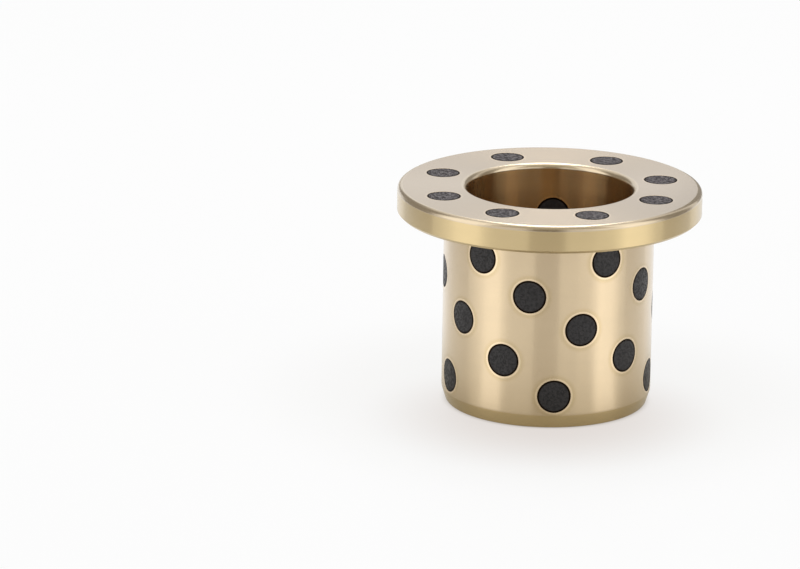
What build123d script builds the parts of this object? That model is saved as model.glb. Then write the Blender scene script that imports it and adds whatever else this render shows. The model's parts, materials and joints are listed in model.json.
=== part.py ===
from build123d import *
import os

# Flanged bronze bushing with solid graphite plugs, in millimetres.
# One sleeve is turned from a single bronze bar. Graphite plugs fill radial holes through its
# wall and blind holes in its thrust face, and their ends are machined flush with the bronze.
# The sleeve stands on its plain end, centred on the origin, with the flange at the top.

# Sleeve
BORE_DIAMETER = 30.0
OUTER_DIAMETER = 38.0
LENGTH = 40.0  # over the flange
FLANGE_DIAMETER = 55.0
FLANGE_THICKNESS = 5.0

# Turned edges of the sleeve
LEAD_IN_LENGTH = 2.5  # taper that guides the plain end into its housing
LEAD_IN_DEPTH = 0.8  # how far the taper goes in from the outside
PLAIN_EDGE_CHAMFER = 0.3  # where the taper meets the plain end
PLAIN_BORE_CHAMFER = 0.5
MOUTH_RADIUS = 1.0  # bore edge at the thrust face
RIM_RADIUS = 0.95  # flange edge at the thrust face
RIM_BACK_CHAMFER = 0.5
ROOT_RADIUS = 0.4  # corner between the outside and the flange

# Plugs in the wall: rows of evenly spaced plugs, each row turned on from the one below it
PLUG_DIAMETER = 6.0
ROWS = 5
PLUGS_PER_ROW = 5
LOWEST_ROW_HEIGHT = 6.1  # centre of the lowest row above the plain end
HIGHEST_ROW_DROP = 4.4  # centre of the highest row below the flange
FIRST_PLUG_ANGLE = -87.0  # plug 1 of the lowest row, from +X, in degrees
ROW_STAGGER = 0.4  # turn from row to row, as a share of the angle between two plugs

# Plugs in the thrust face: one ring of blind holes
FLANGE_PLUG_DIAMETER = 6.0
FLANGE_PLUG_DEPTH = 3.0
FLANGE_PLUG_CIRCLE = 41.5  # diameter of the circle of plug centres
FIRST_FLANGE_PLUG_ANGLE = -70.2  # from +X, in degrees
# The ring was set out by hand: how far each hole lies from its even place, in degrees
FLANGE_PLUG_DRIFT = (0.0, 0.0, -6.0, -6.0, 1.0, 3.0, 3.0, 0.0)

bore_radius = BORE_DIAMETER / 2
outer_radius = OUTER_DIAMETER / 2
flange_radius = FLANGE_DIAMETER / 2
flange_back = LENGTH - FLANGE_THICKNESS
plug_radius = PLUG_DIAMETER / 2
flange_plug_radius = FLANGE_PLUG_DIAMETER / 2


def wall_plug_planes():
    """One plane per wall plug: its origin on the axis of the bore, its normal out along the plug."""
    row_pitch = (flange_back - HIGHEST_ROW_DROP - LOWEST_ROW_HEIGHT) / (ROWS - 1)
    plug_step = 360 / PLUGS_PER_ROW
    planes = {}
    for row in range(ROWS):
        height = LOWEST_ROW_HEIGHT + row * row_pitch
        row_start = FIRST_PLUG_ANGLE - row * ROW_STAGGER * plug_step
        for number in range(PLUGS_PER_ROW):
            outward = Vector(1, 0, 0).rotate(Axis.Z, row_start + number * plug_step)
            name = f"wall_plug_{row + 1}_{number + 1}"
            planes[name] = Plane(origin=(0, 0, height), x_dir=(0, 0, 1), z_dir=outward)
    return planes


def flange_plug_centres():
    """The centre of each flange plug on the thrust face."""
    plug_step = 360 / len(FLANGE_PLUG_DRIFT)
    centres = {}
    for number, drift in enumerate(FLANGE_PLUG_DRIFT):
        angle = FIRST_FLANGE_PLUG_ANGLE + number * plug_step + drift
        centres[f"flange_plug_{number + 1}"] = Vector(FLANGE_PLUG_CIRCLE / 2, 0).rotate(Axis.Z, angle)
    return centres


def make_sleeve():
    """The bronze sleeve: a turned flanged tube with a drilled seat for each plug."""
    plain_end_bore = (bore_radius, 0)
    plain_end_edge = (outer_radius - LEAD_IN_DEPTH, 0)
    lead_in_top = (outer_radius, LEAD_IN_LENGTH)
    flange_root = (outer_radius, flange_back)
    rim_back = (flange_radius, flange_back)
    rim_front = (flange_radius, LENGTH)
    bore_mouth = (bore_radius, LENGTH)
    chamfers = {
        plain_end_bore: PLAIN_BORE_CHAMFER,
        plain_end_edge: PLAIN_EDGE_CHAMFER,
        rim_back: RIM_BACK_CHAMFER,
    }
    roundings = {flange_root: ROOT_RADIUS, rim_front: RIM_RADIUS, bore_mouth: MOUTH_RADIUS}
    with BuildPart() as sleeve:
        # Half section, turned about the axis of the bore
        with BuildSketch(Plane.XZ) as section:
            with BuildLine():
                Polyline(
                    plain_end_bore,
                    plain_end_edge,
                    lead_in_top,
                    flange_root,
                    rim_back,
                    rim_front,
                    bore_mouth,
                    close=True,
                )
            make_face()
            for corner, length in chamfers.items():
                chamfer(section.vertices().sort_by_distance(corner)[0], length=length)
            for corner, radius in roundings.items():
                fillet(section.vertices().sort_by_distance(corner)[0], radius=radius)
        revolve(axis=Axis.Z)
        # Radial holes, each through one side of the wall
        with BuildSketch(*wall_plug_planes().values()):
            Circle(plug_radius)
        extrude(amount=flange_radius, mode=Mode.SUBTRACT)
        # Blind holes in the thrust face
        with BuildSketch(Plane.XY.offset(LENGTH)):
            with Locations(*flange_plug_centres().values()):
                Circle(flange_plug_radius)
        extrude(amount=-FLANGE_PLUG_DEPTH, mode=Mode.SUBTRACT)
    sleeve.part.label = "sleeve"
    return sleeve.part


def make_wall_plug(name, plane):
    """A graphite plug that fills its radial hole, flush with the bore and with the outside."""
    with BuildPart() as plug:
        with BuildSketch(plane):
            Circle(plug_radius)
        extrude(amount=flange_radius)
        # The wall of the sleeve beside the plug trims both of its ends
        with BuildSketch(Plane.XY.offset(plane.origin.Z)):
            Circle(outer_radius)
            Circle(bore_radius, mode=Mode.SUBTRACT)
        extrude(amount=PLUG_DIAMETER, both=True, mode=Mode.INTERSECT)
    plug.part.label = name
    return plug.part


def make_flange_plug(name, centre):
    """A graphite plug that fills its blind hole, flush with the thrust face."""
    with BuildPart() as plug:
        with BuildSketch(Plane.XY.offset(LENGTH)):
            with Locations(centre):
                Circle(flange_plug_radius)
        extrude(amount=-FLANGE_PLUG_DEPTH)
    plug.part.label = name
    return plug.part


pieces = [make_sleeve()]
for plug_name, plug_plane in wall_plug_planes().items():
    pieces.append(make_wall_plug(plug_name, plug_plane))
for plug_name, plug_centre in flange_plug_centres().items():
    pieces.append(make_flange_plug(plug_name, plug_centre))

os.makedirs("parts", exist_ok=True)
for piece in pieces:
    export_step(piece, f"parts/{piece.label}.step")
    print(f"{piece.label}: {len(piece.solids())} solid, {piece.volume:.1f} mm3")
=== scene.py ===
from functools import partial
import json
import math

import bmesh
import bpy
from bpy.props import FloatProperty, FloatVectorProperty, IntProperty, PointerProperty
from mathutils import Matrix, Vector


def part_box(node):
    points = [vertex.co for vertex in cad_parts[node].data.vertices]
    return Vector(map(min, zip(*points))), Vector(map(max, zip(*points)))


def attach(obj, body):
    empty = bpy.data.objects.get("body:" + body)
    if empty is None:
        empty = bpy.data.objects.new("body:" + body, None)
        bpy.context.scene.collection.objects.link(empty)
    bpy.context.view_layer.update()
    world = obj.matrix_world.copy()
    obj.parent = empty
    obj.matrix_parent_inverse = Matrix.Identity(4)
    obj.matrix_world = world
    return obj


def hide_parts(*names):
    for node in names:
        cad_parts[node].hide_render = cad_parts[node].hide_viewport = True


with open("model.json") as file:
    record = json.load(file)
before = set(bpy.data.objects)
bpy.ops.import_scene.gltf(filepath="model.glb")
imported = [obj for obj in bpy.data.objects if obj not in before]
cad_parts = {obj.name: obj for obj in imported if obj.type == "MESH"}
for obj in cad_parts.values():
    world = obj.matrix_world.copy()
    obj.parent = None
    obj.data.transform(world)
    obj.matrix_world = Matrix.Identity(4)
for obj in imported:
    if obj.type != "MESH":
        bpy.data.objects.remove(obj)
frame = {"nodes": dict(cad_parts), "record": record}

# A flanged bronze bushing with graphite plugs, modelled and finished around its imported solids.
# The sleeve is turned on the Z axis, drilled for its plugs and stands on the floor with its
# flange at the top. Lengths are in metres.

bl_info = {
    "name": "Graphite Plugged Bushing",
    "version": (1, 0, 0),
    "blender": (4, 5, 0),
    "location": "3D View > Sidebar > Bushing",
    "description": "Models a flanged bronze bushing with graphite plugs and sets its stage",
    "category": "Add Mesh",
}

MM = 0.001
NEAR = 1e-6  # two places closer than this are the same
PLUG_TOLERANCE = 0.1 * MM  # how far a plug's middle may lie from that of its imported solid
BORE_TOLERANCE = 0.1 * MM  # how far a facet of the bore may lie inside its radius
SHARP_ANGLE = math.radians(20)  # steeper edges are shaded sharp
BROKEN_ANGLE = math.radians(68)  # steeper edges are broken

MOUNTS = {mount["name"]: mount for mount in frame["record"]["mounts"]}
SLEEVE_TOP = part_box("sleeve")[1]
FLANGE_BACK = MOUNTS["flange_back"]["pos_m"][2]
WALL_PLUGS = sorted(name for name in frame["nodes"] if name.startswith("wall_plug_"))
FLANGE_PLUGS = sorted(name for name in frame["nodes"] if name.startswith("flange_plug_"))
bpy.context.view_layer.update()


# ---------------------------------------------------------------- sizes and colours

LengthProperty = partial(FloatProperty, unit="LENGTH")
AngleProperty = partial(FloatProperty, unit="ROTATION")
ShareProperty = partial(FloatProperty, subtype="FACTOR", min=0.0, max=1.0)
ColourProperty = partial(FloatVectorProperty, subtype="COLOR", min=0.0, max=1.0)
PlaceProperty = partial(FloatVectorProperty, subtype="TRANSLATION", unit="LENGTH")


class BushingSleeveSizes(bpy.types.PropertyGroup):
    """Sizes of the turned sleeve"""

    bore_radius: LengthProperty(
        name="Bore Radius",
        description="Radius of the running bore",
        default=MOUNTS["bore"]["dims"]["r_mm"] * MM,
    )
    outer_radius: LengthProperty(
        name="Outer Radius",
        description="Radius of the seat that goes into the housing",
        default=MOUNTS["housing_seat"]["dims"]["r_mm"] * MM,
    )
    length: LengthProperty(
        name="Length", description="Length over the flange", default=SLEEVE_TOP.z
    )
    flange_radius: LengthProperty(
        name="Flange Radius", description="Radius of the flange", default=SLEEVE_TOP.x
    )
    flange_back: LengthProperty(
        name="Flange Back",
        description="Height of the flange's back face above the plain end",
        default=FLANGE_BACK,
    )
    lead_in_length: LengthProperty(
        name="Lead-in Length", description="Length of the taper at the plain end", default=2.5 * MM
    )
    lead_in_depth: LengthProperty(
        name="Lead-in Depth", description="How far the taper goes in from the outside", default=0.8 * MM
    )
    plain_edge_chamfer: LengthProperty(
        name="Plain Edge Chamfer",
        description="Chamfer where the taper meets the plain end",
        default=0.3 * MM,
    )
    plain_bore_chamfer: LengthProperty(
        name="Plain Bore Chamfer", description="Chamfer of the bore at the plain end", default=0.5 * MM
    )
    mouth_radius: LengthProperty(
        name="Mouth Radius", description="Rounding of the bore at the thrust face", default=1.0 * MM
    )
    rim_radius: LengthProperty(
        name="Rim Radius", description="Rounding of the flange at the thrust face", default=0.95 * MM
    )
    rim_back_chamfer: LengthProperty(
        name="Rim Back Chamfer", description="Chamfer of the flange at its back", default=0.5 * MM
    )
    root_radius: LengthProperty(
        name="Root Radius", description="Rounding between the outside and the flange", default=0.4 * MM
    )
    lead_in_softness: LengthProperty(
        name="Lead-in Softness",
        description="Rounding of the edge where the taper starts",
        default=0.35 * MM,
    )
    seat_edge: LengthProperty(
        name="Seat Edge", description="Width of the broken edge round each plug seat", default=0.05 * MM
    )
    lathe_steps: IntProperty(
        name="Lathe Steps",
        description="Facets round the sleeve",
        default=225,
        min=60,
    )


class BushingPlugSizes(bpy.types.PropertyGroup):
    """Sizes and places of the graphite plugs"""

    radius: LengthProperty(
        name="Radius",
        description="Radius of every plug",
        default=(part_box(WALL_PLUGS[0])[1].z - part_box(WALL_PLUGS[0])[0].z) / 2,
    )
    first_angle: AngleProperty(
        name="First Angle",
        description="Direction of plug 1 of the lowest row, from +X",
        default=math.radians(-87),
    )
    plug_step: AngleProperty(
        name="Plug Step", description="Turn from plug to plug in a row", default=math.radians(72)
    )
    row_turn: AngleProperty(
        name="Row Turn", description="Turn from a row to the one above it", default=math.radians(-28.8)
    )
    edge: LengthProperty(
        name="Edge", description="Width of the crumbled edge at the end of each plug", default=0.05 * MM
    )
    sides: IntProperty(
        name="Sides",
        description="Facets round a plug",
        default=72,
        min=24,
    )
    end_rings: IntProperty(
        name="End Rings",
        description="Rings into which the end of a plug is divided",
        default=5,
        min=1,
    )


class BushingFinish(bpy.types.PropertyGroup):
    """Colours and finishes of the metal and the graphite"""

    ground_bronze: ColourProperty(
        name="Ground Bronze",
        description="Colour of the bronze on the ground outside",
        default=(0.655, 0.515, 0.33),
    )
    turned_bronze: ColourProperty(
        name="Turned Bronze",
        description="Colour of the bronze where it is left as turned",
        default=(0.58, 0.45, 0.24),
    )
    faced_bronze: ColourProperty(
        name="Faced Bronze",
        description="Colour of the bronze on the thrust face",
        default=(0.475, 0.365, 0.24),
    )
    rounded_bronze: ColourProperty(
        name="Rounded Bronze",
        description="Colour of the bronze on the polished roundings",
        default=(0.56, 0.455, 0.31),
    )
    honed_bronze: ColourProperty(
        name="Honed Bronze", description="Colour of the bronze in the bore", default=(0.62, 0.415, 0.20)
    )
    # The lighter ring round each plug: partly burnish, partly a painted highlight of the seat's edge
    burnish_and_highlight: FloatProperty(
        name="Burnish",
        description="How much lighter the bronze is where it is burnished round each plug",
        default=1.18,
        min=1.0,
    )
    stain: ColourProperty(
        name="Stain",
        description="How much of its colour the bronze keeps in the stain round the burnished ring",
        default=(0.93, 0.91, 0.82),
    )
    ground_roughness: ShareProperty(
        name="Ground Roughness", description="Roughness of the ground outside", default=0.26
    )
    turned_roughness: ShareProperty(
        name="Turned Roughness", description="Roughness of the turned flange and lead-in", default=0.26
    )
    faced_roughness: ShareProperty(
        name="Faced Roughness", description="Roughness of the thrust face", default=0.24
    )
    rounding_roughness: ShareProperty(
        name="Rounding Roughness", description="Roughness of the polished roundings", default=0.24
    )
    bore_roughness: ShareProperty(
        name="Bore Roughness", description="Roughness of the honed bore", default=0.25
    )
    turning: ShareProperty(
        name="Turning",
        description="How much the tool's rings stretch a highlight across them",
        default=0.98,
    )
    facing: ShareProperty(
        name="Facing",
        description="How much the rings of the thrust face stretch a highlight",
        default=0.86,
    )
    polish: ShareProperty(
        name="Polish",
        description="How much the rings of the roundings stretch a highlight",
        default=0.3,
    )
    oil: ShareProperty(
        name="Oil", description="How much of the bronze is wetted by the film of oil", default=0.9
    )
    # The lighter ring is partly burnish and partly a painted highlight of the seat's edge
    ring: LengthProperty(
        name="Burnished Ring",
        description="Width of the ring burnished round each plug",
        default=0.34 * MM,
    )
    graphite: ColourProperty(
        name="Graphite",
        description="Colour of the graphite in the wall",
        default=(0.0185, 0.0167, 0.0168),
    )
    faced_graphite: ColourProperty(
        name="Faced Graphite",
        description="Colour of the graphite in the thrust face",
        default=(0.027, 0.019, 0.024),
    )
    # Painted shade: a dark colour standing in for the shaded groove round each plug
    painted_groove_shade: ColourProperty(
        name="Smeared Edge",
        description="Colour of the dark edge where the tool smeared bronze over the graphite",
        default=(0.008, 0.004, 0.0015),
    )
    edge_width: LengthProperty(
        name="Edge Width", description="Width of that edge", default=0.4 * MM
    )
    graphite_roughness: ShareProperty(
        name="Graphite Roughness", description="Roughness of the graphite", default=0.46
    )


class BushingStageSizes(bpy.types.PropertyGroup):
    """Camera, floor and lamps"""

    lens: FloatProperty(
        name="Lens",
        description="Focal length of the camera, in millimetres",
        default=247.5,
    )
    camera_elevation: AngleProperty(
        name="Camera Elevation",
        description="How far above the horizon the camera stands",
        default=math.radians(16.37),
    )
    camera_roll: AngleProperty(
        name="Camera Roll",
        description="Turn of the camera about its own line of sight",
        default=math.radians(-0.77),
    )
    plain_end_in_view: FloatVectorProperty(
        name="Plain End In View",
        description="The middle of the plain end, right of, below and in front of the camera",
        default=(26.50 * MM, 20.54 * MM, 1002.3 * MM),
        unit="LENGTH",
    )
    floor: ColourProperty(
        name="Floor", description="Colour of the floor", default=(0.93, 0.93, 0.93)
    )
    # Painted shadow: the floor's own colour round the foot
    painted_shadow_floor: ColourProperty(
        name="Near Floor", description="Colour of the floor round the foot", default=(0.60, 0.575, 0.50)
    )
    # Painted shadow: a darker, warmer glow of the floor in a spot before the foot, placed and sized by the
    # next two
    painted_shadow_glow: ColourProperty(
        name="Near Glow",
        description="Colour of the floor's own light in the shaded spot before the foot",
        default=(0.84, 0.79, 0.765),
    )
    spot_centre: PlaceProperty(
        name="Spot Centre", description="Middle of that shaded spot", default=(0, -12 * MM, 0)
    )
    spot_radius: LengthProperty(
        name="Spot Radius", description="How far the shaded spot reaches", default=36 * MM
    )
    surround: FloatProperty(
        name="Surround",
        description="Level of the white surround in matt surfaces",
        default=0.88,
    )
    # Also the size of the painted shadow on the floor round the foot
    foot_radius: LengthProperty(
        name="Foot Radius",
        description="Radius of the greyer floor where the bushing stands",
        default=20.5 * MM,
    )
    camera_glow: ShareProperty(
        name="Camera Glow",
        description="Share of plain white in what the camera sees of the floor",
        default=0.88,
    )
    gloss_glow: ShareProperty(
        name="Gloss Glow",
        description="Share of plain white in what the metal shows of the floor",
        default=0.45,
    )
    # Painted light: these four aim, centre, spread and weight the pools of soft-box light painted on the
    # floor for the metal
    painted_pool_azimuth: AngleProperty(
        name="Lamp Azimuth",
        description="How far the two front soft boxes stand round from the front",
        default=math.radians(65),
    )
    painted_pool_origin: PlaceProperty(
        name="Lamp Image",
        description="Where the outside mirrors the right-hand soft box, inside the sleeve",
        default=(3.2 * MM, -12.7 * MM, 0),
    )
    painted_pool_spread: AngleProperty(
        name="Lamp Spread",
        description="Half the angle over which their light shows on the floor",
        default=math.radians(15),
    )
    painted_pool_glow: ShareProperty(
        name="Lamp Glow",
        description="Share of their light in what the metal shows of the floor",
        default=0.65,
    )
    front_card: ColourProperty(
        name="Front Card", description="Colour of the dark card in front", default=(0.25, 0.215, 0.16)
    )
    side_card: ColourProperty(
        name="Side Card",
        description="Colour of the dark cards at the sides",
        default=(0.38, 0.355, 0.32),
    )
    back_card: ColourProperty(
        name="Back Card", description="Colour of the low card behind", default=(0.55, 0.48, 0.38)
    )
    high_card: ColourProperty(
        name="High Card", description="Colour of the card above the camera", default=(0.60, 0.56, 0.45)
    )


class BushingSettings(bpy.types.PropertyGroup):
    """All the settings of the bushing"""

    sleeve: PointerProperty(type=BushingSleeveSizes, name="Sleeve", description="Sizes of the sleeve")
    plugs: PointerProperty(type=BushingPlugSizes, name="Plugs", description="Sizes of the plugs")
    finish: PointerProperty(type=BushingFinish, name="Finish", description="Colours and finishes")
    stage: PointerProperty(type=BushingStageSizes, name="Stage", description="Camera, floor and lamps")


def bushing():
    """The scene's own bushing settings"""
    return bpy.context.scene.bushing


# ---------------------------------------------------------------- modelling by hand


def deselect_all():
    """Leaves nothing selected, so that the next operator acts on its own new object"""
    if bpy.context.mode != "OBJECT":
        bpy.ops.object.mode_set(mode="OBJECT")
    bpy.ops.object.select_all(action="DESELECT")


def activate(piece):
    """Makes piece the only selected object, in object mode"""
    deselect_all()
    piece.select_set(True)
    bpy.context.view_layer.objects.active = piece


def select_vertices(piece, places):
    """In edit mode, selects the vertices at these places and nothing else"""
    bpy.ops.mesh.select_all(action="DESELECT")
    mesh = bmesh.from_edit_mesh(piece.data)
    for vertex in mesh.verts:
        vertex.select = any((vertex.co - place).length < NEAR for place in places)
    mesh.select_flush(True)
    bmesh.update_edit_mesh(piece.data)


def add_object(name, data):
    """A new object in the scene that shows data"""
    thing = bpy.data.objects.new(name, data)
    bpy.context.scene.collection.objects.link(thing)
    return thing


def copy_to(source, name, place):
    """A copy of source with its own mesh, moved by the matrix place"""
    mesh = source.data.copy()
    mesh.transform(place)
    return add_object(name, mesh)


def join(name, pieces):
    """Joins pieces into one object"""
    deselect_all()
    for piece in pieces:
        piece.select_set(True)
    bpy.context.view_layer.objects.active = pieces[0]
    bpy.ops.object.join()
    pieces[0].name = name
    return pieces[0]


def apply_modifiers(piece):
    """Applies every modifier of piece, in order"""
    activate(piece)
    for modifier in list(piece.modifiers):
        bpy.ops.object.modifier_apply(modifier=modifier.name)


def cut(piece, tool, operation):
    """Cuts piece with tool, then merges what the cut left doubled"""
    boolean = piece.modifiers.new("cut", "BOOLEAN")
    boolean.operation = operation
    boolean.solver = "EXACT"
    boolean.object = tool
    apply_modifiers(piece)
    if not piece.data.polygons:
        raise RuntimeError(f"the cut left nothing of {piece.name}")
    bpy.ops.object.mode_set(mode="EDIT")
    bpy.ops.mesh.select_all(action="SELECT")
    bpy.ops.mesh.remove_doubles(threshold=2 * NEAR)
    bpy.ops.object.mode_set(mode="OBJECT")


def break_edges(piece, width):
    """Rounds the sharpest edges of piece"""
    edge = piece.modifiers.new("broken edges", "BEVEL")
    edge.width = width
    edge.segments = 2
    edge.limit_method = "ANGLE"
    edge.angle_limit = BROKEN_ANGLE
    edge.use_clamp_overlap = False
    apply_modifiers(piece)


def smooth(piece):
    """Smooth shading that keeps the flats flat and the true edges sharp"""
    activate(piece)
    bpy.ops.object.shade_smooth_by_angle(angle=SHARP_ANGLE)
    weighted = piece.modifiers.new("weighted normals", "WEIGHTED_NORMAL")
    weighted.keep_sharp = True
    apply_modifiers(piece)


def finish_piece(piece, slot, *nodes):
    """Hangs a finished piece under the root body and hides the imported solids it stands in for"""
    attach(piece, "root")
    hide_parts(*nodes)


# ---------------------------------------------------------------- the sleeve


def add_half_section(sizes):
    """The sleeve's wall in half section: one flat face in the XZ plane"""
    wall = sizes.outer_radius - sizes.bore_radius
    deselect_all()
    bpy.ops.mesh.primitive_plane_add(
        size=1,
        location=(sizes.bore_radius + wall / 2, 0, sizes.length / 2),
        rotation=(math.pi / 2, 0, 0),
    )
    section = bpy.context.active_object
    section.scale = (wall, sizes.length, 1)
    bpy.ops.object.transform_apply(location=True, rotation=True, scale=True)
    bpy.ops.object.mode_set(mode="EDIT")
    for height in (sizes.lead_in_length, sizes.flange_back):
        bpy.ops.mesh.select_all(action="SELECT")
        bpy.ops.mesh.bisect(plane_co=(0, 0, height), plane_no=(0, 0, 1))
    # The flange is drawn out of the upper end of the outside
    outside_top = Vector((sizes.outer_radius, 0, sizes.length))
    flange_root = Vector((sizes.outer_radius, 0, sizes.flange_back))
    select_vertices(section, [outside_top, flange_root])
    overhang = sizes.flange_radius - sizes.outer_radius
    bpy.ops.mesh.extrude_region_move(TRANSFORM_OT_translate={"value": (overhang, 0, 0)})
    # The lead-in is drawn in at the plain end
    select_vertices(section, [Vector((sizes.outer_radius, 0, 0))])
    bpy.ops.transform.translate(value=(-sizes.lead_in_depth, 0, 0))
    # One face, with vertices at its corners alone
    bpy.ops.mesh.select_all(action="SELECT")
    bpy.ops.mesh.dissolve_faces()
    between_corners = [
        Vector((sizes.bore_radius, 0, sizes.lead_in_length)),
        Vector((sizes.bore_radius, 0, sizes.flange_back)),
        outside_top,
    ]
    select_vertices(section, between_corners)
    bpy.ops.mesh.dissolve_verts()
    return section


def dress_corners(section, sizes):
    """Chamfers and rounds the corners of the half section"""
    taper_bottom = sizes.outer_radius - sizes.lead_in_depth
    # Each corner's radius and height, then the size and the facets of its dressing
    corners = (
        (sizes.bore_radius, 0, sizes.plain_bore_chamfer, 1),
        (taper_bottom, 0, sizes.plain_edge_chamfer, 2),
        (sizes.outer_radius, sizes.lead_in_length, sizes.lead_in_softness, 4),
        (sizes.outer_radius, sizes.flange_back, sizes.root_radius, 6),
        (sizes.flange_radius, sizes.flange_back, sizes.rim_back_chamfer, 1),
        (sizes.flange_radius, sizes.length, sizes.rim_radius, 12),
        (sizes.bore_radius, sizes.length, sizes.mouth_radius, 12),
    )
    for radius, height, size, facets in corners:
        select_vertices(section, [Vector((radius, 0, height))])
        bpy.ops.mesh.bevel(offset=size, segments=facets, profile=0.5, affect="VERTICES")


def turn_blank(sizes, start_angle):
    """The sleeve as it leaves the lathe, before its seats are drilled"""
    blank = add_half_section(sizes)
    dress_corners(blank, sizes)
    bpy.ops.mesh.select_all(action="SELECT")
    bpy.ops.mesh.delete(type="ONLY_FACE")
    bpy.ops.mesh.select_all(action="SELECT")
    bpy.ops.mesh.spin(
        steps=sizes.lathe_steps,
        angle=2 * math.pi,
        use_auto_merge=True,
        center=(0, 0, 0),
        axis=(0, 0, 1),
    )
    bpy.ops.mesh.select_all(action="SELECT")
    bpy.ops.mesh.remove_doubles(threshold=NEAR)
    bpy.ops.mesh.normals_make_consistent(inside=False)
    bpy.ops.object.mode_set(mode="OBJECT")
    # A facet line runs through the middle of every wall plug
    blank.data.transform(Matrix.Rotation(start_angle, 4, "Z"))
    return blank


def clear_thrust_face(blank, sizes, plugs):
    """Removes the facet lines of the flat thrust face that pass close to a plug seat"""
    seats = [flange_plug_place(name).translation for name in FLANGE_PLUGS]
    clearance = 2 * plugs.radius
    activate(blank)
    bpy.ops.object.mode_set(mode="EDIT")
    bpy.ops.mesh.select_mode(type="EDGE")
    bpy.ops.mesh.select_all(action="DESELECT")
    mesh = bmesh.from_edit_mesh(blank.data)
    for edge in mesh.edges:
        ends = [vertex.co for vertex in edge.verts]
        on_face = all(abs(end.z - sizes.length) < NEAR for end in ends)
        across_face = (ends[0] - ends[1]).length > plugs.radius
        if on_face and across_face:
            middle = (ends[0] + ends[1]).to_2d() / 2
            edge.select = any((middle - seat.to_2d()).length < clearance for seat in seats)
    bmesh.update_edit_mesh(blank.data)
    bpy.ops.mesh.dissolve_edges(use_verts=False)
    bpy.ops.mesh.select_mode(type="VERT")
    bpy.ops.object.mode_set(mode="OBJECT")


def wall_plug_place(name, plugs):
    """Turns and lifts what lies along +X at height 0 to the wall plug's place"""
    row, number = (int(word) - 1 for word in name.split("_")[-2:])
    low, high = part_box(name)
    height = (low.z + high.z) / 2
    angle = plugs.first_angle + row * plugs.row_turn + number * plugs.plug_step
    return Matrix.Translation((0, 0, height)) @ Matrix.Rotation(angle, 4, "Z")


def flange_plug_place(name):
    """Moves what stands on the axis to the flange plug's place"""
    low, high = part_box(name)
    middle = (low + high) / 2
    return Matrix.Translation((middle.x, middle.y, 0))


def add_round_bar(plugs, low, high):
    """A round bar of the plugs' size on the Z axis, from height low to height high"""
    deselect_all()
    bpy.ops.mesh.primitive_cylinder_add(
        vertices=plugs.sides,
        radius=plugs.radius,
        depth=high - low,
        location=(0, 0, (low + high) / 2),
    )
    bar = bpy.context.active_object
    bpy.ops.object.transform_apply(location=True, rotation=True, scale=True)
    return bar


def add_radial_bar(plugs, inner, outer):
    """A round bar of the plugs' size along +X, from radius inner to radius outer"""
    bar = add_round_bar(plugs, inner, outer)
    bar.data.transform(Matrix.Rotation(math.pi / 2, 4, "Y"))
    return bar


def add_drills(sleeve, plugs):
    """One object with a bar in the place of every plug, longer than the seat where it is open"""
    reach = sleeve.flange_radius - sleeve.outer_radius
    radial = add_radial_bar(plugs, sleeve.bore_radius - reach, sleeve.outer_radius + reach)
    seat_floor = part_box(FLANGE_PLUGS[0])[0].z
    upright = add_round_bar(plugs, seat_floor, sleeve.length + reach)
    drills = [copy_to(radial, name, wall_plug_place(name, plugs)) for name in WALL_PLUGS]
    drills += [copy_to(upright, name, flange_plug_place(name)) for name in FLANGE_PLUGS]
    bpy.data.objects.remove(radial)
    bpy.data.objects.remove(upright)
    return join("drills", drills)


def dress_in_bronze(sleeve, settings):
    """Gives each part of the sleeve the finish that its last cut left"""
    sizes = settings.sleeve
    finish = settings.finish
    turning = finish.turning
    oil = finish.oil
    burnish_and_highlight = finish.burnish_and_highlight
    clean = (1.0, 1.0, 1.0)
    # Name, colour, roughness, stretch of the highlights, oil, burnish with its painted highlight, and stain
    finishes = (
        ("ground_bronze", finish.ground_bronze, finish.ground_roughness, turning, oil, burnish_and_highlight, finish.stain),
        ("turned_bronze", finish.turned_bronze, finish.turned_roughness, turning, oil / 2, 1.0, clean),
        ("faced_bronze", finish.faced_bronze, finish.faced_roughness, finish.facing, oil, burnish_and_highlight, clean),
        ("rounded_bronze", finish.rounded_bronze, finish.rounding_roughness, finish.polish, oil, 1.0, clean),
        ("honed_bronze", finish.honed_bronze, finish.bore_roughness, turning, 0.0, burnish_and_highlight, clean),
    )
    ground, turned, faced, rounded, honed = range(len(finishes))
    sleeve.data.materials.clear()
    for values in finishes:
        sleeve.data.materials.append(bronze(*values))
    mouth_radius = sizes.bore_radius + sizes.mouth_radius
    face_radius = sizes.flange_radius - sizes.rim_radius
    for face in sleeve.data.polygons:
        radius = face.center.to_2d().length
        height = face.center.z
        outward = face.normal.to_2d().dot(face.center.to_2d()) > 0
        if height > sizes.length - NEAR:
            face.material_index = faced
        elif height > sizes.length - sizes.rim_radius and radius > face_radius:
            face.material_index = rounded
        elif height > sizes.length - sizes.mouth_radius and radius < mouth_radius:
            face.material_index = rounded
        elif abs(radius - sizes.bore_radius) < BORE_TOLERANCE and not outward:
            face.material_index = honed
        elif sizes.lead_in_length < height < sizes.flange_back and outward:
            face.material_index = ground
        else:
            face.material_index = turned


class BUSHING_OT_sleeve(bpy.types.Operator):
    """Turn the bronze sleeve and drill the seats of its plugs"""

    bl_idname = "bushing.sleeve"
    bl_label = "Turn Sleeve"

    def execute(self, context):
        settings = bushing()
        sleeve = turn_blank(settings.sleeve, settings.plugs.first_angle)
        sleeve.name = "turned_sleeve"
        sleeve.data.name = "turned_sleeve"
        clear_thrust_face(sleeve, settings.sleeve, settings.plugs)
        drills = add_drills(settings.sleeve, settings.plugs)
        cut(sleeve, drills, "DIFFERENCE")
        bpy.data.objects.remove(drills)
        dress_in_bronze(sleeve, settings)
        break_edges(sleeve, settings.sleeve.seat_edge)
        smooth(sleeve)
        finish_piece(sleeve, "bronze", "sleeve")
        return {"FINISHED"}


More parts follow.
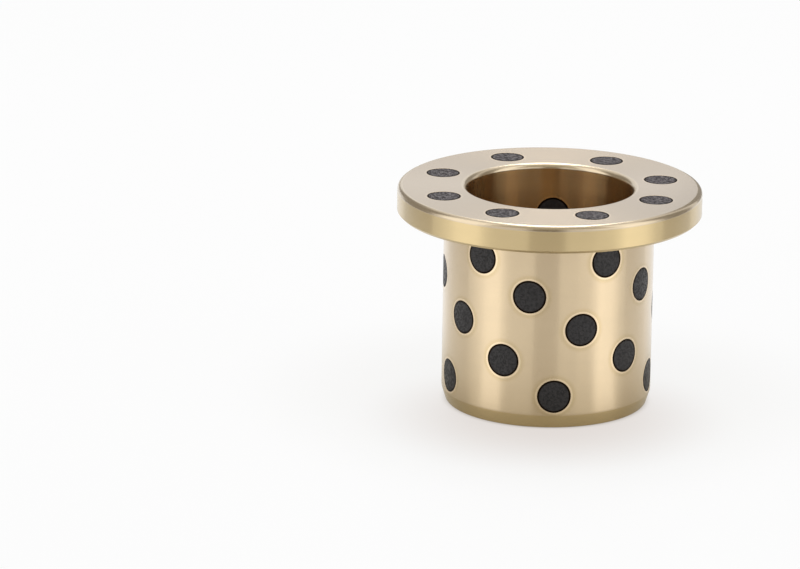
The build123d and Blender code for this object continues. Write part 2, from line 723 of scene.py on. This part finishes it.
# ---------------------------------------------------------------- the plugs


def seat_plug(plug, name, place):
    """A copy of plug in its seat"""
    seated = copy_to(plug, name + "_graphite", place)
    low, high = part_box(name)
    middle = (low + high) / 2
    corners = [Vector(corner) for corner in seated.bound_box]
    off_place = sum(corners, Vector()) / len(corners) - middle
    if off_place.length > PLUG_TOLERANCE:
        raise RuntimeError(f"{seated.name} is {off_place.length / MM:.2f} mm off its place")
    finish_piece(seated, "graphite", name)
    return seated


def select_ends(plug):
    """In edit mode, selects the two flat ends of a plug on the Z axis"""
    bpy.ops.mesh.select_all(action="DESELECT")
    mesh = bmesh.from_edit_mesh(plug.data)
    for face in mesh.faces:
        face.select = abs(face.normal.z) > 0.99
    bmesh.update_edit_mesh(plug.data)


def round_plug(plugs, low, high):
    """A plug on the Z axis with crumbled edges, its ends divided into rings"""
    plug = add_round_bar(plugs, low, high)
    bpy.ops.object.mode_set(mode="EDIT")
    bpy.ops.mesh.select_mode(type="FACE")
    select_ends(plug)
    bpy.ops.mesh.bevel(offset=plugs.edge, segments=2, profile=0.5, affect="EDGES")
    select_ends(plug)
    for ring in range(plugs.end_rings):
        bpy.ops.mesh.inset(thickness=(plugs.radius - plugs.edge) / (plugs.end_rings + 1))
    bpy.ops.mesh.select_mode(type="VERT")
    bpy.ops.object.mode_set(mode="OBJECT")
    return plug


def turn_ends_flush(plug):
    """Bends the flat ends of a plug along +X to the bore and to the outside"""
    for vertex in plug.data.vertices:
        radius = vertex.co.x
        vertex.co.x = math.sqrt(radius**2 - vertex.co.y**2)


class BUSHING_OT_wall_plugs(bpy.types.Operator):
    """Press the graphite plugs into the wall and turn their ends flush"""

    bl_idname = "bushing.wall_plugs"
    bl_label = "Press Wall Plugs"

    def execute(self, context):
        settings = bushing()
        sleeve = settings.sleeve
        plug = round_plug(settings.plugs, sleeve.bore_radius, sleeve.outer_radius)
        plug.data.transform(Matrix.Rotation(math.pi / 2, 4, "Y"))
        turn_ends_flush(plug)
        turned_graphite = graphite(
            "turned_graphite",
            settings.finish.graphite,
            grains_per_metre=5400.0,
            grain_depth=0.02 * MM,
            mottle=0.32,
            edge_metal=1.0,
        )
        plug.data.materials.clear()
        plug.data.materials.append(turned_graphite)
        smooth(plug)
        for name in WALL_PLUGS:
            seat_plug(plug, name, wall_plug_place(name, settings.plugs))
        bpy.data.objects.remove(plug)
        return {"FINISHED"}


class BUSHING_OT_flange_plugs(bpy.types.Operator):
    """Press the graphite plugs into the thrust face and face them flush"""

    bl_idname = "bushing.flange_plugs"
    bl_label = "Press Flange Plugs"

    def execute(self, context):
        settings = bushing()
        low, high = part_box(FLANGE_PLUGS[0])
        plug = round_plug(settings.plugs, low.z, high.z)
        faced_graphite = graphite(
            "faced_graphite",
            settings.finish.faced_graphite,
            grains_per_metre=4200.0,
            grain_depth=0.14 * MM,
            mottle=0.5,
            edge_metal=0.0,
        )
        plug.data.materials.clear()
        plug.data.materials.append(faced_graphite)
        smooth(plug)
        for name in FLANGE_PLUGS:
            seat_plug(plug, name, flange_plug_place(name))
        bpy.data.objects.remove(plug)
        return {"FINISHED"}


# ---------------------------------------------------------------- materials

RINGS_PER_METRE = 5000.0
RING_WANDER = 0.5  # how far a ring strays on its way round, in rings
RING_DEPTH = 0.01 * MM
BROAD_RINGS = 0.14  # rings of tone for each fine ring
CLOUDS_PER_METRE = 180.0
TONE = 0.08  # how far clouds and rings make the bronze darker or lighter
ROUGHNESS_SPREAD = 0.03  # how far the rings make it rougher or smoother
STAIN_REACH = (1.0 * MM, 0.2 * MM)  # past the burnished ring: where the stain starts and is full
RING_EDGE = (0.12 * MM, -0.04 * MM)  # the same for the lighter ring, partly burnish and partly painted highlight
PAINTED_SEAM = 0.07 * MM  # width of the painted shade of the groove on the bronze round a plug
COAT_ROUGHNESS = 0.25
ACROSS_RINGS = 0.25  # a quarter turn stretches highlights across the rings, not along them
PAINTED_GLINT_SHARE = (0.88, 0.96)  # flakes over this share get a painted glint, a lighter colour


class NodeBench:
    """Adds and links the nodes of one node tree"""

    def __init__(self, tree):
        self.tree = tree

    def add(self, kind, operation=None, **inputs):
        """Adds a node"""
        node = self.tree.nodes.new(kind)
        if operation:
            node.operation = operation
        self.feed(node, **inputs)
        return node

    def feed(self, node, **inputs):
        """Gives inputs of a node a value, or the socket of another node"""
        for name, value in inputs.items():
            socket = self.socket(node, name)
            if isinstance(value, bpy.types.NodeSocket):
                self.tree.links.new(value, socket)
            else:
                socket.default_value = value

    @staticmethod
    def socket(node, name):
        """The input called name, with _ for a space, or number n where name is inN"""
        if name.startswith("in") and name[2:].isdigit():
            return node.inputs[int(name[2:])]
        return node.inputs[name.replace("_", " ")]

    def math(self, operation, first, second=0.0):
        """The result of a Math node"""
        return self.add("ShaderNodeMath", operation, in0=first, in1=second).outputs[0]

    def noise(self, place, scale, detail):
        """The result of a Noise Texture node"""
        return self.add("ShaderNodeTexNoise", Vector=place, Scale=scale, Detail=detail).outputs["Fac"]

    def length(self, vector):
        """The length of a vector"""
        return self.add("ShaderNodeVectorMath", "LENGTH", in0=vector).outputs["Value"]

    def place(self):
        """The place of a point in its object, and the same split into X, Y and Z"""
        place = self.add("ShaderNodeTexCoord").outputs["Object"]
        return place, self.add("ShaderNodeSeparateXYZ", in0=place).outputs

    def round_axis(self):
        """A point's X and Y as one flat vector, its Z, its distance from the Z axis and its angle round it"""
        split = self.place()[1]
        flat = self.add("ShaderNodeCombineXYZ", X=split["X"], Y=split["Y"]).outputs[0]
        return flat, split["Z"], self.length(flat), self.math("ARCTAN2", split["Y"], split["X"])


def new_group(name, inputs, outputs):
    """An empty shader node group, its bench, its input sockets and its output node"""
    group = bpy.data.node_groups.new(name, "ShaderNodeTree")
    for socket_name, kind, default in inputs:
        socket = group.interface.new_socket(name=socket_name, in_out="INPUT", socket_type=kind)
        socket.default_value = default
    for socket_name, kind in outputs:
        group.interface.new_socket(name=socket_name, in_out="OUTPUT", socket_type=kind)
    bench = NodeBench(group)
    given = group.nodes.new("NodeGroupInput").outputs
    result = group.nodes.new("NodeGroupOutput")
    return bench, given, result


def turning_marks():
    """Node group: the fine rings that the tool leaves round the axis, on faces of any slope"""
    name = "Turning Marks"
    if name in bpy.data.node_groups:
        return bpy.data.node_groups[name]
    bench, given, result = new_group(
        name,
        [
            ("Rings Per Metre", "NodeSocketFloat", RINGS_PER_METRE),
            ("Wander", "NodeSocketFloat", RING_WANDER),
        ],
        [
            ("Height", "NodeSocketFloat"),
            ("Streak", "NodeSocketFloat"),
        ],
    )
    _, height, radius, angle = bench.round_axis()
    # The angle's jump at the back is hidden by using its cosine and sine
    wander_x = bench.math("MULTIPLY", bench.math("COSINE", angle), given["Wander"])
    wander_y = bench.math("MULTIPLY", bench.math("SINE", angle), given["Wander"])
    ring_radius = bench.math("MULTIPLY", radius, given["Rings Per Metre"])
    ring_height = bench.math("MULTIPLY", height, given["Rings Per Metre"])
    across = bench.math("ADD", ring_radius, wander_x)
    along = bench.math("ADD", ring_height, wander_y)
    rings = bench.add("ShaderNodeCombineXYZ", X=across, Y=along).outputs[0]
    fine = bench.noise(rings, 1.0, 2.0)
    broad = bench.noise(rings, BROAD_RINGS, 3.0)
    bench.feed(result, Height=fine, Streak=broad)
    return bench.tree


def new_material(name):
    """A material with its bench, and its Principled shader already in place"""
    material = bpy.data.materials.new(name)
    material.use_nodes = True
    bench = NodeBench(material.node_tree)
    shader = material.node_tree.nodes["Principled BSDF"]
    return material, bench, shader


def spread(bench, value, low, high):
    """value, from 0 to 1, spread from low to high"""
    return bench.add("ShaderNodeMapRange", in0=value, in3=low, in4=high).outputs[0]


def tint(bench, colour, value, low, high):
    """colour, made darker or lighter as value goes from 0 to 1"""
    level = spread(bench, value, low, high)
    shade = bench.add("ShaderNodeCombineXYZ", X=level, Y=level, Z=level).outputs[0]
    return bench.add("ShaderNodeVectorMath", "MULTIPLY", in0=shade, in1=tuple(colour)).outputs[0]


def nearest_plug():
    """Node group: how far a point lies from the middle line of the nearest plug, in metres"""
    name = "Nearest Plug"
    if name in bpy.data.node_groups:
        return bpy.data.node_groups[name]
    settings = bushing()
    plugs = settings.plugs
    heights = sorted({round((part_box(plug)[0].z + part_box(plug)[1].z) / 2, 6) for plug in WALL_PLUGS})
    pitch = (heights[-1] - heights[0]) / (len(heights) - 1)
    bench, _, result = new_group(name, [], [("Distance", "NodeSocketFloat")])
    flat, height, radius, angle = bench.round_axis()
    # Wall plugs: the row below the point and the row above it
    rows_up = bench.math("DIVIDE", bench.math("SUBTRACT", height, heights[0]), pitch)
    below = bench.math("FLOOR", rows_up)
    nearest = None
    for row in (below, bench.math("ADD", below, 1.0)):
        row = bench.math("MINIMUM", bench.math("MAXIMUM", row, 0.0), float(len(heights) - 1))
        lift = bench.math("MULTIPLY", bench.math("SUBTRACT", rows_up, row), pitch)
        turned = bench.math("SUBTRACT", angle, plugs.first_angle)
        turned = bench.math("SUBTRACT", turned, bench.math("MULTIPLY", row, plugs.row_turn))
        half_step = plugs.plug_step / 2
        turned = bench.add("ShaderNodeMath", "WRAP", in0=turned, in1=half_step, in2=-half_step).outputs[0]
        aside = bench.math("MULTIPLY", radius, bench.math("SINE", turned))
        off_axis = bench.add("ShaderNodeCombineXYZ", X=aside, Y=lift).outputs[0]
        distance = bench.length(off_axis)
        nearest = distance if nearest is None else bench.math("MINIMUM", nearest, distance)
    # Flange plugs: they count above the floor of their seats alone
    under_seats = bench.math("LESS_THAN", height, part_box(FLANGE_PLUGS[0])[0].z)
    for plug in FLANGE_PLUGS:
        middle = flange_plug_place(plug).translation
        distance = bench.add("ShaderNodeVectorMath", "DISTANCE", in0=flat, in1=middle).outputs["Value"]
        nearest = bench.math("MINIMUM", nearest, bench.math("ADD", distance, under_seats))
    bench.feed(result, Distance=nearest)
    return bench.tree


def place_group(bench, tree):
    """Adds a node group to a material"""
    node = bench.add("ShaderNodeGroup")
    node.node_tree = tree
    return node


def blend(bench, mask, first, second):
    """A colour that goes from first to second as mask goes from 0 to 1"""
    mix = bench.add("ShaderNodeMix")
    mix.data_type = "RGBA"
    bench.tree.links.new(mask, mix.inputs["Factor"])
    for value, socket in ((first, mix.inputs[6]), (second, mix.inputs[7])):
        if isinstance(value, bpy.types.NodeSocket):
            bench.tree.links.new(value, socket)
        else:
            socket.default_value = (*value, 1.0)
    return mix.outputs[2]


def ramp(bench, value, start, end):
    """0 where value is under start, 1 where it is over end, and smooth between them"""
    node = bench.add("ShaderNodeMapRange", in0=value, in1=start, in2=end)
    node.interpolation_type = "SMOOTHSTEP"
    return node.outputs[0]


def bronze(name, body_colour, roughness, turning, oil, burnish_and_highlight, stain):
    """Bronze cut by a fine tool, whose rings stretch highlights across them"""
    finish = bushing().finish
    plug_radius = bushing().plugs.radius
    material, bench, shader = new_material(name)
    marks = place_group(bench, turning_marks())
    place, _ = bench.place()
    cloud = bench.noise(place, CLOUDS_PER_METRE, 3.0)
    half_cloud = bench.math("MULTIPLY", cloud, 0.5)
    half_streak = bench.math("MULTIPLY", marks.outputs["Streak"], 0.5)
    shade = bench.math("ADD", half_cloud, half_streak)
    colour = tint(bench, body_colour, shade, 1 - TONE, 1 + TONE)
    distance = place_group(bench, nearest_plug()).outputs["Distance"]
    ring_edge = plug_radius + finish.ring
    stain_start, stain_full = STAIN_REACH
    stained = ramp(bench, distance, ring_edge + stain_start, ring_edge + stain_full)
    stained_colour = [kept * channel for kept, channel in zip(stain, body_colour)]
    colour = blend(bench, stained, colour, stained_colour)
    # The lighter ring round each plug: partly burnish, partly a painted highlight of the seat's edge
    ring_start, ring_full = RING_EDGE
    ring = ramp(bench, distance, ring_edge + ring_start, ring_edge + ring_full)
    colour = blend(bench, ring, colour, [burnish_and_highlight * channel for channel in body_colour])
    # Painted shade of the groove on the bronze round the plug, where the oil's coat is also left off
    painted_seam = ramp(bench, distance, plug_radius + PAINTED_SEAM, plug_radius)
    colour = blend(bench, painted_seam, colour, finish.painted_groove_shade)
    smoothest = roughness - ROUGHNESS_SPREAD
    rough = spread(bench, marks.outputs["Streak"], smoothest, roughness + ROUGHNESS_SPREAD)
    height = marks.outputs["Height"]
    bump = bench.add("ShaderNodeBump", Height=height, Strength=0.25, Distance=RING_DEPTH)
    tangent = bench.add("ShaderNodeTangent")
    tangent.direction_type = "RADIAL"
    tangent.axis = "Z"
    bench.feed(
        shader,
        Base_Color=colour,
        Metallic=1.0,
        Roughness=rough,
        Normal=bump.outputs[0],
        Tangent=tangent.outputs[0],
        Anisotropic=turning,
        Anisotropic_Rotation=ACROSS_RINGS,
        Coat_Weight=spread(bench, painted_seam, oil, 0.0),
        Coat_Roughness=COAT_ROUGHNESS,
    )
    return material


def graphite(name, colour, grains_per_metre, grain_depth, mottle, edge_metal):
    """Pressed graphite: dull and speckled, with a painted glint on some flakes and a painted shade of the
    groove at its edge
    """
    finish = bushing().finish
    plug_radius = bushing().plugs.radius
    material, bench, shader = new_material(name)
    place, _ = bench.place()
    grain = bench.noise(place, grains_per_metre, 3.0)
    patch = bench.noise(place, 0.4 * grains_per_metre, 2.0)
    flake = bench.add("ShaderNodeTexVoronoi", Vector=place, Scale=0.8 * grains_per_metre).outputs["Color"]
    # Painted glint: flakes that would glint get a lighter colour
    painted_glint = ramp(bench, bench.add("ShaderNodeSeparateXYZ", in0=flake).outputs["X"], *PAINTED_GLINT_SHARE)
    half_grain = bench.math("MULTIPLY", grain, 0.5)
    half_patch = bench.math("MULTIPLY", patch, 0.5)
    shade = ramp(bench, bench.math("ADD", half_grain, half_patch), 0.42, 0.58)
    painted_glint_colour = [(1 + 2 * mottle) * channel for channel in colour]
    colour = tint(bench, colour, shade, 1 - mottle, 1 + mottle)
    colour = blend(bench, painted_glint, colour, painted_glint_colour)
    distance = place_group(bench, nearest_plug()).outputs["Distance"]
    # Painted shade of the groove at the plug's edge: the dark colour, with metal or dull gloss
    edge = ramp(bench, distance, plug_radius - finish.edge_width, plug_radius - 0.5 * finish.edge_width)
    colour = blend(bench, edge, colour, finish.painted_groove_shade)
    dullest = finish.graphite_roughness + 0.7 * mottle
    brightest = finish.graphite_roughness - 0.5 * mottle
    rough = spread(bench, shade, dullest, brightest)
    dull = bench.math("MULTIPLY", edge, 1.0 - edge_metal)
    bump = bench.add("ShaderNodeBump", Height=grain, Strength=0.5, Distance=grain_depth)
    bench.feed(
        shader,
        Base_Color=colour,
        Metallic=bench.math("MULTIPLY", edge, edge_metal),
        Roughness=bench.math("MAXIMUM", rough, dull),
        Normal=bump.outputs[0],
        Specular_IOR_Level=0.3,
    )
    return material


# ---------------------------------------------------------------- the stage

WHITE = (1.0, 1.0, 1.0)
FLOOR_SIZE = 12
PLAIN_GLOW = 0.965  # level of the floor's own light
PAINTED_POOL_LEVEL = 1.6  # level of the floor's glow in the painted pools of soft-box light
NEAREST_GLOSS = 0.1  # share of plain white that the metal shows of the floor at the foot
# Where each change on the floor starts and ends, in foot radii
# Painted shadow: how the floor's colour and its white in gloss darken towards the foot
PAINTED_SHADOW_FADE = (1.2, 3.0)
CAMERA_CLEARING = (0.8, 0.95)
PAINTED_POOL_REACH = (0.9, 1.6)
# Edges of the painted pools of soft-box light, in their spreads
PAINTED_POOL_EDGE = (1.5, 0.5)
SPOT_CORE = 0.2  # share of the painted shadow spot that has its full colour
LAMP_TARGET = Vector((0, 0, 20 * MM))


def aim(azimuth, elevation, distance, target):
    """The matrix of something that looks at target from a direction; azimuth 0 is in front"""
    away = Vector(
        (
            math.sin(azimuth) * math.cos(elevation),
            -math.cos(azimuth) * math.cos(elevation),
            math.sin(elevation),
        )
    )
    turn = away.to_track_quat("Z", "Y").to_matrix().to_4x4()
    return Matrix.Translation(target + away * distance) @ turn


def seen_rays(bench):
    """1 for the rays that show a thing as it looks: to the camera, in gloss and through glass"""
    rays = bench.add("ShaderNodeLightPath").outputs
    seen = bench.math("MAXIMUM", rays["Is Camera Ray"], rays["Is Glossy Ray"])
    return bench.math("MAXIMUM", seen, rays["Is Transmission Ray"])


def add_floor(stage):
    """A wide pale floor, with a painted shadow round the foot and painted pools of soft-box light that only
    the metal shows
    """
    deselect_all()
    bpy.ops.mesh.primitive_plane_add(size=FLOOR_SIZE, location=(0, 0, 0))
    floor = bpy.context.active_object
    floor.name = "floor"
    material, bench, shader = new_material("floor")
    place, split = bench.place()
    foot_radii = bench.math("DIVIDE", bench.length(place), stage.foot_radius)
    # Painted shadow: clear is 0 at the foot and 1 away from it, and darkens the floor's colour and its white
    # in gloss
    clear = ramp(bench, foot_radii, *PAINTED_SHADOW_FADE)
    colour = blend(bench, clear, stage.painted_shadow_floor, stage.floor)
    bench.feed(shader, Base_Color=colour, Roughness=0.45, Specular_IOR_Level=0.3)
    rays = bench.add("ShaderNodeLightPath").outputs
    to_camera = ramp(bench, foot_radii, *CAMERA_CLEARING)
    to_camera = bench.math("MULTIPLY", to_camera, stage.camera_glow)
    to_camera = bench.math("MULTIPLY", to_camera, rays["Is Camera Ray"])
    in_gloss = spread(bench, clear, NEAREST_GLOSS, stage.gloss_glow)
    # Painted light: pools of soft-box light painted on the floor, which only the metal shows
    aside = bench.math("SUBTRACT", bench.math("ABSOLUTE", split["X"]), stage.painted_pool_origin[0])
    forward = bench.math("SUBTRACT", stage.painted_pool_origin[1], split["Y"])
    azimuth = bench.math("ARCTAN2", aside, forward)
    off_painted_pool = bench.math("ABSOLUTE", bench.math("SUBTRACT", azimuth, stage.painted_pool_azimuth))
    off_painted_pool = bench.math("DIVIDE", off_painted_pool, stage.painted_pool_spread)
    painted_pool = ramp(bench, off_painted_pool, *PAINTED_POOL_EDGE)
    painted_pool_reach = ramp(bench, foot_radii, *PAINTED_POOL_REACH)
    painted_pool = bench.math("MULTIPLY", painted_pool, painted_pool_reach)
    painted_pool_share = bench.math("MULTIPLY", painted_pool, stage.painted_pool_glow)
    in_gloss = bench.math("MAXIMUM", in_gloss, painted_pool_share)
    in_gloss = bench.math("MULTIPLY", in_gloss, rays["Is Glossy Ray"])
    share = bench.math("MAXIMUM", to_camera, in_gloss)
    level = bench.math("MULTIPLY", painted_pool, rays["Is Glossy Ray"])
    level = spread(bench, level, PLAIN_GLOW, PAINTED_POOL_LEVEL)
    # Painted shadow: the floor's own light is darker and warmer in a spot before the foot
    from_spot = bench.add("ShaderNodeVectorMath", "DISTANCE", in0=place, in1=stage.spot_centre)
    beyond = ramp(bench, from_spot.outputs["Value"], SPOT_CORE * stage.spot_radius, stage.spot_radius)
    own_light = blend(bench, beyond, stage.painted_shadow_glow, WHITE)
    white = bench.add("ShaderNodeEmission", Color=own_light, Strength=level)
    mix = bench.add("ShaderNodeMixShader", in0=share, in1=shader.outputs[0], in2=white.outputs[0])
    bench.feed(material.node_tree.nodes["Material Output"], Surface=mix.outputs[0])
    floor.data.materials.append(material)


def add_soft_box(name, azimuth, elevation, distance, width, height, level):
    """A soft box whose face adds the given level to the white behind it"""
    light = bpy.data.lights.new(name, "AREA")
    light.shape = "RECTANGLE"
    light.size = width
    light.size_y = height
    light.energy = 4 * width * height * level
    lamp = add_object(name, light)
    lamp.matrix_world = aim(math.radians(azimuth), math.radians(elevation), distance, LAMP_TARGET)
    lamp.visible_camera = False


def add_card(name, azimuth, distance, width, low, high, colour, fade):
    """An upright dark card, from height low to height high, that only reflections show

    Towards its top it fades to white, over the given share of its height.
    """
    deselect_all()
    bpy.ops.mesh.primitive_plane_add(size=1)
    card = bpy.context.active_object
    card.name = name
    material = bpy.data.materials.new(name)
    material.use_nodes = True
    material.node_tree.nodes.clear()
    bench = NodeBench(material.node_tree)
    _, split = bench.place()
    faded = blend(bench, ramp(bench, split["Y"], 0.5 - fade, 0.5), colour, WHITE)
    glow = bench.add("ShaderNodeEmission", Color=faded)
    bench.add("ShaderNodeOutputMaterial", Surface=glow.outputs[0])
    card.data.materials.append(material)
    middle = Vector((0, 0, (low + high) / 2))
    stretch = Matrix.Diagonal((width, high - low, 1, 1))
    card.matrix_world = aim(math.radians(azimuth), 0, distance, middle) @ stretch
    card.visible_camera = False
    card.visible_diffuse = False
    card.visible_shadow = False


def add_surround(stage):
    """A white surround that the camera and the metal see, dimmer on matt surfaces"""
    world = bpy.data.worlds.new("surround")
    bpy.context.scene.world = world
    world.use_nodes = True
    world.node_tree.nodes.clear()
    bench = NodeBench(world.node_tree)
    level = spread(bench, seen_rays(bench), stage.surround, 1.0)
    glow = bench.add("ShaderNodeBackground", Color=(1.0, 1.0, 1.0, 1.0), Strength=level)
    bench.add("ShaderNodeOutputWorld", Surface=glow.outputs[0])


def add_camera(stage):
    """A long lens a little above the flange"""
    elevation = stage.camera_elevation
    roll = stage.camera_roll
    level_right = Vector((1, 0, 0))
    forward = Vector((0, math.cos(elevation), -math.sin(elevation)))
    level_down = Vector((0, -math.sin(elevation), -math.cos(elevation)))
    right = level_right * math.cos(roll) + level_down * math.sin(roll)
    down = level_down * math.cos(roll) - level_right * math.sin(roll)
    across, below, depth = stage.plain_end_in_view
    place = -(right * across + down * below + forward * depth)
    lens = bpy.data.cameras.new("camera")
    lens.lens = stage.lens
    lens.sensor_width = 36.0
    lens.clip_start = 0.05
    lens.clip_end = 50.0
    camera = add_object("camera", lens)
    turn = Matrix((right, -down, -forward)).transposed().to_4x4()
    camera.matrix_world = Matrix.Translation(place) @ turn
    bpy.context.scene.camera = camera


class BUSHING_OT_stage(bpy.types.Operator):
    """Set the floor, the soft boxes, the dark cards, the surround and the camera"""

    bl_idname = "bushing.stage"
    bl_label = "Set Stage"

    def execute(self, context):
        stage = bushing().stage
        bpy.context.scene.view_settings.view_transform = "Standard"
        add_floor(stage)
        add_surround(stage)
        # Name, azimuth and elevation in degrees, distance, width, height and level
        soft_boxes = (
            ("soft_box_left", -70, 30, 0.5, 0.34, 0.56, 0.53),
            ("soft_box_right", 68, 30, 0.5, 0.25, 0.56, 0.52),
            ("soft_box_fill", 46, 12, 0.5, 0.26, 0.22, 0.3),
            ("soft_box_back", 177, 62, 0.5, 0.18, 0.31, 3.0),
        )
        for values in soft_boxes:
            add_soft_box(*values)
        # Name, azimuth in degrees, distance, width, lowest and highest point, colour and fade
        cards = (
            ("card_front", -2.8, 0.25, 0.112, 0.0, 0.72, stage.front_card, 1.0),
            ("card_left", -112, 0.16, 0.12, 0.004, 0.28, stage.side_card, 0.4),
            ("card_left_high", -140, 0.16, 0.09, 0.055, 0.20, stage.side_card, 0.4),
            ("card_right", 103, 0.16, 0.10, 0.004, 0.28, stage.side_card, 0.4),
            ("card_right_high", 150, 0.16, 0.09, 0.02, 0.20, stage.side_card, 0.4),
            ("card_back", 180, 0.25, 0.20, 0.036, 0.085, stage.back_card, 0.5),
            ("card_high", 0, 0.10, 0.22, 0.115, 0.40, stage.high_card, 0.3),
        )
        for values in cards:
            add_card(*values)
        add_camera(stage)
        return {"FINISHED"}


# ---------------------------------------------------------------- panel and registration


class BUSHING_PT_panel(bpy.types.Panel):
    """Lists the bushing's operators and settings"""

    bl_label = "Bushing"
    bl_idname = "BUSHING_PT_panel"
    bl_space_type = "VIEW_3D"
    bl_region_type = "UI"
    bl_category = "Bushing"

    def draw(self, context):
        for operator in OPERATORS:
            self.layout.operator(operator.bl_idname)
        settings = bushing()
        for group in (settings.sleeve, settings.plugs, settings.finish, settings.stage):
            box = self.layout.box()
            for name in group.bl_rna.properties.keys():
                if name not in ("rna_type", "name"):
                    box.prop(group, name)


OPERATORS = (
    BUSHING_OT_sleeve,
    BUSHING_OT_wall_plugs,
    BUSHING_OT_flange_plugs,
    BUSHING_OT_stage,
)
CLASSES = (
    BushingSleeveSizes,
    BushingPlugSizes,
    BushingFinish,
    BushingStageSizes,
    BushingSettings,
    *OPERATORS,
    BUSHING_PT_panel,
)


def register():
    for cls in CLASSES:
        bpy.utils.register_class(cls)
    bpy.types.Scene.bushing = PointerProperty(type=BushingSettings)


def unregister():
    del bpy.types.Scene.bushing
    for cls in reversed(CLASSES):
        bpy.utils.unregister_class(cls)


def main():
    register()
    bpy.ops.bushing.sleeve()
    bpy.ops.bushing.wall_plugs()
    bpy.ops.bushing.flange_plugs()
    bpy.ops.bushing.stage()


if __name__ == "__main__":
    main()
